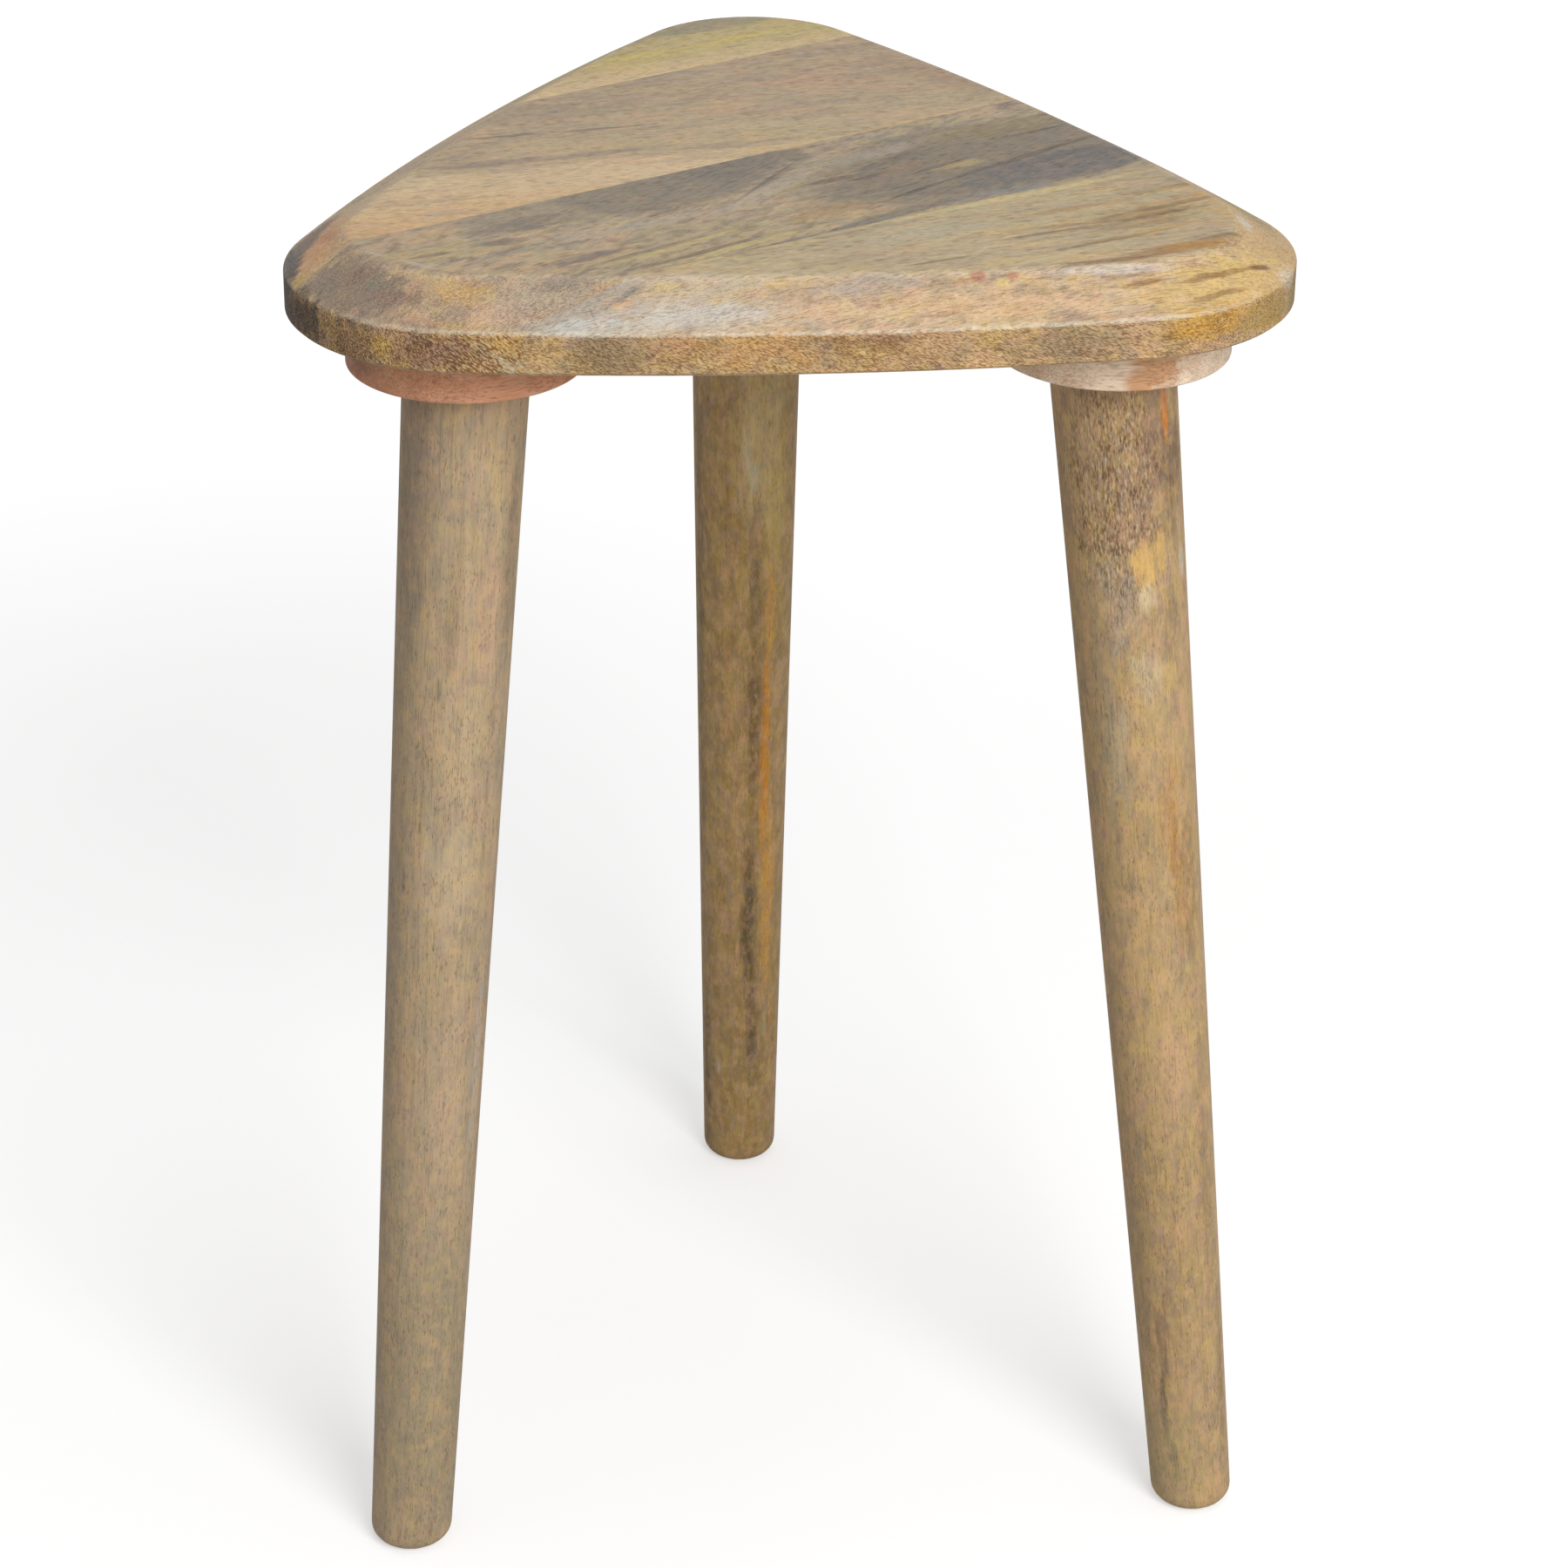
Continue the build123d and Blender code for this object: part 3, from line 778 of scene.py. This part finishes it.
def dress_front_board():
    wood = board_wood("board_front", (60, -100), 16)
    wood.ground(
        (-60, (192, 172, 136)),
        (-10, (188, 172, 136)),
        (10, (184, 170, 134)),
        (40, (182, 166, 130)),
        (70, (180, 162, 126)),
        wander=5,
    )
    wood.clouds(0.35, 0.15, 0.3, length=44, width=9)
    wood.tint_cuts_and_shade((216, 188, 154), (206, 165, 106), bevel_amount=0.85, side_amount=0.85, mottle=0.5)
    wood.figure((134, 108, 70), (216, 198, 150), 0.38, 0.32, band_width=2.4, band_length=14)
    wood.stains(
        ((156, 128, 82), (115, -90, 500), (40, 15, 8), 22, 0.8, 0.9, 0.9),
        ((158, 144, 120), (116, -50, 500), (32, 11, 8), 25, 0.6, 0.9, 0.9),
    )
    brown, umber = (136, 106, 68), (112, 88, 64)
    wood.stains(
        ((200, 168, 114), (154, -84, 495), (24, 52, 14), 10, 0.85, 0.5, 0.5),
        ((152, 134, 98), (152, -66, 493), (9, 30, 9), 12, 0.8, 0.7, 0.7),
        ((226, 192, 118), (134, -132, 492), (40, 22, 10), 32, 0.75, 0.7),
        ((210, 158, 56), (128, -148, 484), (22, 14, 7), 28, 0.8, 0.8),
        ((190, 158, 82), (150, -130, 482), (20, 14, 8), 48, 0.75, 0.8),
        ((156, 142, 92), (164, -108, 480), (14, 20, 9), 0, 0.75),
    )
    wood.streaks(
        ((178, 172, 152), (6, -112), (66, -96), 8, 0.5, 0.8),
        ((208, 192, 138), (14, -99), (136, -40), 2.6, 0.75, 0.4),
    )
    wood.streaks(
        ((162, 136, 84), (104, -74), (166, -46), 2.8, 0.7, 0.6),
        (brown, (96, -94), (160, -63), 2.2, 0.75, 0.9, 0.8),
        ((196, 146, 78), (112, -82), (158, -60), 2),
        (brown, (118, -66), (160, -50), 1.6, 0.6, 0.6),
        depth=18,
    )
    wood.streaks(
        ((170, 134, 92), (66, -92), (120, -71), 2.8, 0.6, 0.7),
        (brown, (66, -104), (114, -91), 2.4, 0.65, 0.9, 0.8),
        (umber, (100, -98), (142, -78), 2.6, 0.65, 1, 0.8),
        (umber, (58, -113), (104, -96), 1.4, 0.75),
        (brown, (72, -126), (128, -99), 1.7, 0.75, 0.6),
        ((190, 152, 84), (98, -112), (140, -92), 2.4, 0.5, 0.7),
        ((120, 94, 62), (78, -135), (116, -127), 2.2, 0.8, 0.6),
        ((148, 112, 64), (96, -132), (146, -109), 5.5, 0.8, 0.7),
    )
    wood.stain((176, 130, 62), (126, -118.5, 500), (18, 5.6, 4), 24, 0.9, 0.7, 0.7)
    wood.streaks(
        ((116, 88, 56), (100, -131), (122, -123.5), 1.5, 0.75, 0.7, 0.8),
        ((112, 92, 56), (126, -114.5), (151, -103), 2, 0.8, 0.7, 0.8),
        ((128, 110, 84), (28, -134), (56, -123), 1.3, 0.65, 0.6),
        ((200, 182, 146), (22, -101), (56, -88), 2.2, 0.5, 0.6),
    )
    coral = (184, 116, 92)
    # On the bevel, the wedge at the joint has the tone of the board behind
    bevel = wood.use_group(zones_group, place=wood.place)["Bevel"]
    wood.stain((180, 166, 148), (-98.6, -100.2, 490), (80, 60, 60), 41.7, bevel, 0, 0.02)
    wood.streak((118, 116, 116), (-67.5, -149), (-49.5, -137), 1.7, 0.85, 0.5, 0.7, height=495, depth=12)
    wood.streak((128, 116, 108), (-64, -133), (-61, -143.5), 0.6, 0.55, 0.5, 0.9, height=497, depth=6)
    wood.streak((118, 112, 112), (-71, -145), (-68.5, -152), 0.6, 0.55, 0.5, 0.9, height=492.5, depth=6)
    wood.streak((212, 202, 190), (72, -137.5), (120, -133), 2.8, 0.8, height=498.5, depth=3)
    wood.stains(
        (coral, (54, -138.5, 498.5), (3.6, 3.4, 3), 0, 0.8, 0.6),
        (coral, (65, -138.5, 498.5), (2.8, 2.4, 3), 0, 0.7, 0.6),
        ((226, 200, 132), (61.5, -141, 497), (3.4, 3.4, 3), 0, 0.75, 0.6, 0.7),
        ((172, 150, 134), (-4, -144, 496), (15, 6, 4), 8, 0.65, 1.4),
        ((224, 176, 136), (-4, -151, 493), (18, 6, 5), 0, 0.45, 1),
        ((180, 168, 156), (20, -142, 497), (26, 7, 5), 4, 0.7, 1),
        ((224, 184, 142), (56, -149, 493), (44, 8, 6), 0, 0.4, 1),
        ((208, 204, 194), (-38, -151, 491.5), (48, 11, 8), 0, 0.85, 0.6, 0.8),
        ((196, 184, 162), (-36, -140, 498), (30, 10, 5), 4, 0.6, 0.8),
        ((204, 202, 194), (-70, -154, 490), (19, 6, 4.6), 0, 0.8, 0.6),
        ((222, 182, 136), (-61, -146.5, 494), (6, 3, 3), 0, 0.5, 1.2),
        ((226, 196, 122), (-45, -141, 498), (7, 3, 3), 0, 0.5, 1.3),
    )
    wood.streak((118, 84, 44), (144, -123), (153, -117), 1.7, 0.95, 0.3, height=493)
    wood.streak((150, 112, 66), (98, -142), (120, -136), 1.5, 0.8, 0.8, height=495)
    wood.streak((146, 110, 64), (118, -139), (139, -128), 1.7, 0.8, 0.8, height=494)
    wood.streak((152, 118, 68), (119, -147), (143, -133), 1.5, 0.8, 0.8, height=490)
    wood.streak((158, 122, 72), (128, -134), (148, -121), 1.2, 0.7, 0.8, height=494)
    wood.streak((116, 82, 40), (110, -154), (153, -127), 2, 0.85, 0.8, height=482)
    wood.streak((128, 96, 44), (124, -150), (160, -117), 1.4, 0.8, 0.8, height=485)
    wood.stains(
        # Painted highlights: a pale patch on the ridge at the right corner, and a pale strip on the right
        # side's top arris
        ((216, 206, 190), (159, -118, 488), (6, 9, 5), -30, 0.65),
        ((216, 208, 192), (148.5, -93, 498.5), (4, 11, 4), 8, 0.75, 0.8),
        ((154, 130, 92), (-66, -157, 481), (18, 7, 9), 0, 0.8, 0.9),
        ((202, 148, 104), (-42, -158, 485), (12, 5, 5), 0, 0.5, 1),
        ((216, 164, 94), (-18, -159, 483), (28, 6, 8), 0, 0.5, 1),
        ((158, 114, 70), (18, -159, 484), (20, 6, 5), 0, 0.65, 1.2),
        ((212, 172, 128), (40, -158, 481), (14, 6, 8), 0, 0.5, 1),
        ((228, 186, 136), (54, -158, 477), (8, 6, 5), 0, 0.65, 1),
        ((166, 142, 106), (84, -156, 482), (28, 8, 9), 0, 0.75, 1),
    )
    wood.clouds(**BOARD_MOTTLE)
    wood.fleck_cuts(24, 6, bevel=0.22, side=0.75, length=1.5, width=0.36, share=0.5, dark_amount=0.75)
    wood.rub_and_highlight_arrises(0.5, spared=((160, -115, 488), (56, 50, 30)))
    wood.lacquer(**BOARD_GRAIN)


def pad_box(side):
    """The low and the high corner of a pad's box, in metres."""
    return [Vector(corner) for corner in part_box(f"leg_pad_{side}")]


def pad_wood(side, angle):
    low, high = pad_box(side)
    return Wood(f"leg_pad_{side}", f"pad {side} wood", (low + high) / 2 / MM, in_plan(angle))


def dress_pads():
    pads = {
        "left": (20, (216, 152, 116), (174, 110, 82), (232, 176, 142)),
        "right": (0, (244, 219, 191), (208, 172, 142), (250, 233, 212)),
        "back": (60, (206, 176, 140), (160, 128, 96), (220, 196, 160)),
    }
    for side, (angle, ground, dark, light) in pads.items():
        wood = pad_wood(side, angle)
        wood.ground((-40, ground), (40, ground))
        wood.clouds(0.1, 0.35, 0.12, length=30, width=9)
        if side == "left":
            wood.stain((132, 92, 66), (-150, -112, 464), (14, 18, 12), amount=0.6)
            wood.stain((220, 128, 100), (-96, -140, 466), (16, 12, 5), amount=0.5)
        if side == "right":
            wood.stain((206, 146, 94), (114, -131, 461), (11, 16, 40), amount=0.8, softness=0.4)
        wood.figure(dark, light, 0.4, 0.4, band_width=3, band_length=60)
        wood.lacquer(fibre_amount=0.2, pore_share=0.3)


def leg_wood(side):
    """A leg's wood runs along its axis, from the middle of its foot up to the middle of its pad."""
    mounts = {mount["name"]: mount for mount in frame["record"]["mounts"]}
    foot = Vector(mounts[f"foot_{side}"]["pos_m"])
    low, high = pad_box(side)
    head = Vector(((low.x + high.x) / 2, (low.y + high.y) / 2, low.z))
    turn = (head - foot).to_track_quat("X", "Z").to_euler()
    return Wood(f"leg_{side}", f"leg {side} wood", foot / MM, tuple(turn))


# Fine dark pits, all over a leg
PITS = dict(length=2.4, width=0.5, share=0, dark_amount=0.7, pale_amount=0)
WHOLE_LEG = (900, 90, 90)


def dress_left_leg():
    wood = leg_wood("left")
    wood.ground((-22, (182, 162, 131)), (22, (178, 157, 127)))
    wood.clouds(0.18, 0.16, 0.2, length=24, width=9)
    wood.figure((124, 108, 86), (212, 190, 150), 0.25, 0.15, band_width=1.6, band_length=60, ripple=1.5)
    wood.marks(
        ((146, 130, 112), (-128, -107, 416), 70, 12, 0.6, 0.9),
        ((196, 172, 128), (-100, -110, 430), 24, 5, 0.6, 0.9),
        ((208, 170, 138), (-104, -112, 373), 34, 7, 0.5, 0.9),
        ((156, 132, 102), (-116, -115, 372), 30, 4, 0.6, 0.9, 0.9),
        ((208, 184, 146), (-114, -117, 324), 36, 9, 0.3, 0.9),
        ((212, 190, 152), (-118, -119, 275), 30, 9, 0.4, 0.9),
        # Painted highlight: a pale lilac-grey sheen along the leg's right edge
        ((192, 184, 172), (-112, -115, 200), 64, 4, 0.5, 0.7, 0.9),
        ((210, 178, 146), (-122, -121, 190), 44, 9, 0.4, 0.9),
        ((160, 146, 116), (-132, -126, 70), 96, 24, 0.65),
        ((128, 112, 90), (-95, -104, 392), 66, 6, 0.6, 0.5, 0.9),
        ((206, 184, 150), (-127, -120, 279), 40, 4, 0.5, 0.9, 0.9),
        ((110, 100, 90), (-121, -116, 345), 6, 1.4, 0.5, 0.9),
        ((106, 96, 88), (-128, -111, 430), 4, 1.6),
        ((112, 104, 98), (-125, -122, 229), 3.6, 1, 0.3, 1.2, 0.9),
        ((110, 96, 78), (-128.4, -109.5, 437), 9, 0.9, 0.6, 0.5, 0.8),
        ((110, 96, 78), (-125.4, -110.5, 438), 11, 0.7, 0.6, 0.5, 0.8),
        ((120, 106, 88), (-126.4, -111.5, 400), 26, 0.6, 0.5, 0.5, 0.8),
        ((112, 104, 98), (-135, -114, 272), 7, 1.4),
    )
    wood.clouds(0.2, 0.2, 0.2, length=6, width=4)
    wood.speckle((-120, -114, 230), WHOLE_LEG, amount=0.55, **PITS)
    wood.lacquer(fibre_amount=0.06, pore_amount=0.2, pore_share=0.2)


def dress_right_leg():
    wood = leg_wood("right")
    wood.ground((-22, (188, 159, 114)), (22, (190, 160, 112)))
    wood.clouds(0.3, 0.3, 0.25, length=14, width=9)
    wood.figure((146, 120, 84), (216, 190, 142), 0.25, 0.2, band_width=3, band_length=14)
    wood.marks(
        ((162, 134, 97), (106, -112, 425), 66, 22, 0.8, 0.7, 0.5),
        ((142, 110, 92), (118, -110, 424), 34, 8, 0.7, 0.9, 0.8),
        ((160, 130, 110), (110, -113, 404), 16, 8, 0.5, 1.2),
        ((180, 168, 148), (108, -113, 372), 24, 9, 0.5, 1.2),
    )
    wood.speckle(
        (104, -112, 415), (72, 24, 24), length=2.4, width=0.7, share=0.4, dark_amount=0.65, pale_amount=0.45
    )
    wood.marks(
        ((188, 160, 124), (96, -110, 424), 30, 6, 0.45, 0.9, 0.9),
        ((104, 80, 60), (124, -108, 420), 30, 8, 0.6, 0.8, 0.9),
        ((112, 88, 64), (127, -103, 424), 30, 5.5, 0.8, 0.6, 0.8),
        ((206, 126, 48), (121.5, -107.5, 438), 13, 2.2, 0.95, 0.7),
        ((230, 186, 106), (116.5, -115, 385), 10, 5.4, 0.85, 1.1, 0.5),
        ((226, 184, 104), (122.5, -112, 388), 10, 2.6, 0.8, 1.1),
        ((238, 220, 184), (118, -115, 372), 8, 4, 0.55, 1.2, 0.9),
        ((126, 102, 74), (127, -108, 400), 16, 3, 0.5, 0.9),
        ((220, 210, 196), (131, -105, 383), 9, 2.4, 0.6, 1),
        ((220, 202, 164), (119, -116, 345), 14, 7, 0.5, 1),
        ((140, 116, 84), (127, -111, 362), 16, 5, 0.6, 1, 0.9),
        ((184, 176, 148), (110, -114, 316), 30, 6, 0.5, 1.1),
        ((156, 120, 70), (138, -113, 262), 44, 5, 0.5, 0.9),
        ((146, 120, 84), (149, -117, 150), 80, 6, 0.5, 0.7, 0.9),
        ((128, 106, 74), (160, -118, 56), 50, 4, 0.6, 0.6, 0.9),
        ((208, 176, 120), (123, -116, 320), 20, 7, 0.4, 1),
        ((150, 128, 96), (127, -110, 366), 14, 3, 0.5, 0.9),
        ((198, 148, 86), (130, -115, 292), 30, 6, 0.6, 1),
        ((172, 126, 66), (133.5, -116.5, 268), 40, 4, 0.6, 0.9),
        ((158, 142, 112), (104, -112, 335), 60, 6, 0.6, 0.9),
        ((214, 170, 134), (135, -121, 190), 24, 8, 0.5, 1),
        ((164, 136, 96), (136, -117, 110), 96, 24, 0.4, 0.5, 0.7),
        ((206, 172, 116), (126, -116, 230), 60, 9, 0.5, 0.9),
        ((98, 84, 74), (139, -122, 47), 22, 2, 0.8, 0.7),
        ((108, 98, 88), (144, -124, 24), 15, 2.2, 0.7, 0.7),
        ((134, 108, 76), (137, -122, 76), 24, 3, 0.6, 0.9),
        ((180, 160, 114), (142, -120, 24), 34, 18, 0.6),
    )
    wood.clouds(0.25, 0.25, 0.25, length=6, width=3)
    wood.speckle((124, -112, 200), WHOLE_LEG, amount=0.5, **PITS)
    wood.lacquer(fibre_amount=0.07, pore_amount=0.2, pore_share=0.2)


def dress_back_leg():
    wood = leg_wood("back")
    wood.ground((-22, (165, 132, 76)), (22, (168, 137, 78)))
    wood.clouds(0.3, 0.25, 0.2, length=12, width=8)
    wood.figure((122, 98, 56), (196, 170, 114), 0.25, 0.2, band_width=4, band_length=12)
    wood.marks(
        ((196, 168, 92), (9.5, 92, 322), 62, 7, 0.75, 0.5, 0.8),
        ((212, 190, 134), (2, 88, 350), 56, 15, 0.75, 0.9, 0.9),
        ((208, 152, 60), (8, 97.5, 268), 40, 3, 0.8, 0.8, 0.8),
        ((206, 138, 40), (7, 105, 205), 66, 3.2, 0.95, 0.3),
        ((212, 156, 68), (9.5, 114.5, 138), 60, 4.6, 0.85, 0.6, 0.7),
        ((200, 152, 76), (14, 124, 70), 50, 4, 0.75, 0.6, 0.7),
        ((104, 84, 50), (2, 94, 285), 40, 4, 0.7, 0.4, 0.9),
        ((90, 72, 42), (2.5, 101, 225), 56, 4.8, 0.85, 0.4, 0.9),
        ((86, 70, 42), (2, 114, 125), 64, 5.4, 0.9, 0.4, 0.9),
        ((90, 76, 52), (4, 123, 66), 34, 5.2, 0.85, 0.5, 0.9),
        ((172, 166, 130), (9, 122, 72), 14, 2, 0.6, 0.9),
        ((206, 196, 160), (-2, 87, 344), 12, 3.4, 0.6, 1.1),
        ((200, 192, 160), (1, 87, 333), 9, 3, 0.6, 1.1),
        ((196, 188, 164), (-10, 126, 50), 6, 2.6, 0.5, 1.1),
        ((110, 90, 58), (-20, 112, 230), 220, 5, 0.5, 0.9),
        ((84, 68, 46), (-14, 133, 46), 60, 5, 0.7, 0.6, 0.9),
        ((150, 112, 62), (3, 101, 235), 90, 4, 0.35, 0.6, 0.9),
    )
    wood.clouds(0.2, 0.25, 0.25, length=6, width=3)
    wood.speckle((0, 108, 200), WHOLE_LEG, amount=0.4, **PITS)
    wood.lacquer(fibre_amount=0.06, pore_amount=0.15, pore_share=0.2)


# Metal inside the table


def make_metal(name, colour, roughness):
    """Plated steel, a little duller and rougher in cloudy patches."""
    material = bpy.data.materials.new(name)
    wiring = empty_wiring(material)
    cloud = wiring.noise(wiring.place(ORIGIN), detail=3.0, roughness=0.6, scale=0.4)["Fac"]
    dulled = [level * 0.8 for level in colour]
    inputs = {
        "Base Color": wiring.mix(wiring.smooth_range(cloud, 0.35, 0.65), screen(*colour), screen(*dulled)),
        "Roughness": wiring.smooth_range(cloud, 0.3, 0.7, roughness - 0.06, roughness + 0.08),
        "Metallic": 1.0,
    }
    shader = wiring.node("ShaderNodeBsdfPrincipled", inputs)
    wiring.node("ShaderNodeOutputMaterial", {"Surface": shader.outputs[0]})
    return material


def dress_metal():
    bolt_zinc = make_metal("bolt bright zinc", (214, 214, 210), 0.3)
    insert_zinc = make_metal("insert zinc", (208, 204, 190), 0.34)
    screw_zinc = make_metal("screw yellow zinc", (216, 200, 140), 0.32)
    for side in SIDES:
        dress(f"hanger_bolt_{side}", bolt_zinc)
        dress(f"insert_nut_{side}", insert_zinc)
        dress(f"pad_screws_{side}", screw_zinc)


# Studio: a pale floor, a white sky and soft lamps. The floor's reach and the lamps' places are in metres.

FLOOR_REACH = 6.0
FLOOR_GREY = (0.72, 0.72, 0.72, 1.0)
SKY_WHITE = (1.0, 1.0, 1.0, 1.0)
SKY_STRENGTH = 0.27
LAMP_AIM = (0.0, 0.0, 0.3)

# The camera sees the floor a little lifted, and more so from the near to the far distance in millimetres
NEAR_FLOOR, FAR_FLOOR = 300.0, 1500.0
NEAR_LIFT, FAR_LIFT = 0.50, 0.75


def lay_floor():
    floor_mesh = bpy.data.meshes.new("floor")
    reach = FLOOR_REACH
    corners = [(-reach, -reach, 0), (reach, -reach, 0), (reach, reach, 0), (-reach, reach, 0)]
    floor_mesh.from_pydata(corners, [], [(0, 1, 2, 3)])
    floor = bpy.data.objects.new("floor", floor_mesh)
    bpy.context.collection.objects.link(floor)

    material = bpy.data.materials.new("pale floor")
    wiring = empty_wiring(material)
    seen = wiring.node("ShaderNodeLightPath").outputs["Is Camera Ray"]
    matt = wiring.node("ShaderNodeBsdfDiffuse", {"Color": FLOOR_GREY})
    away = wiring.length(wiring.place(ORIGIN))
    glow = wiring.smooth_range(away, NEAR_FLOOR, FAR_FLOOR, NEAR_LIFT, FAR_LIFT)
    lift = wiring.node("ShaderNodeEmission", {"Strength": wiring.times(seen, glow)})
    both = wiring.node("ShaderNodeAddShader", {0: matt.outputs[0], 1: lift.outputs[0]})
    wiring.node("ShaderNodeOutputMaterial", {"Surface": both.outputs[0]})
    floor.data.materials.append(material)


def raise_sky():
    """The sky is white where it is seen, itself or in a gloss, and gives a weaker light."""
    world = bpy.data.worlds.new("white sky")
    bpy.context.scene.world = world
    wiring = empty_wiring(world)
    path = wiring.node("ShaderNodeLightPath").outputs
    shown = wiring.math("MAXIMUM", path["Is Camera Ray"], path["Is Glossy Ray"])
    shown = wiring.math("MAXIMUM", shown, path["Is Transmission Ray"])
    strength = wiring.math("MULTIPLY_ADD", shown, 1.0 - SKY_STRENGTH, SKY_STRENGTH)
    sky = wiring.node("ShaderNodeBackground", {"Color": SKY_WHITE, "Strength": strength})
    wiring.node("ShaderNodeOutputWorld", {"Surface": sky.outputs[0]})


def add_lamp(name, place, size, power):
    lamp = bpy.data.lights.new(name, "AREA")
    lamp.shape = "DISK"
    lamp.size = size
    lamp.energy = power
    lamp_object = bpy.data.objects.new(name, lamp)
    turn = (Vector(LAMP_AIM) - Vector(place)).to_track_quat("-Z", "Y").to_matrix().to_4x4()
    lamp_object.matrix_world = Matrix.Translation(place) @ turn
    bpy.context.collection.objects.link(lamp_object)


place_camera()
lay_floor()
raise_sky()
add_lamp("key lamp", (0.8, -2.0, 1.7), 1.4, 42.0)
add_lamp("top lamp", (0.2, 0.0, 2.6), 2.0, 12.0)
dress_rear_board()
dress_mid_rear_board()
dress_mid_front_board()
dress_front_board()
dress_pads()
dress_left_leg()
dress_right_leg()
dress_back_leg()
dress_metal()

bpy.context.scene.view_settings.view_transform = "Standard"
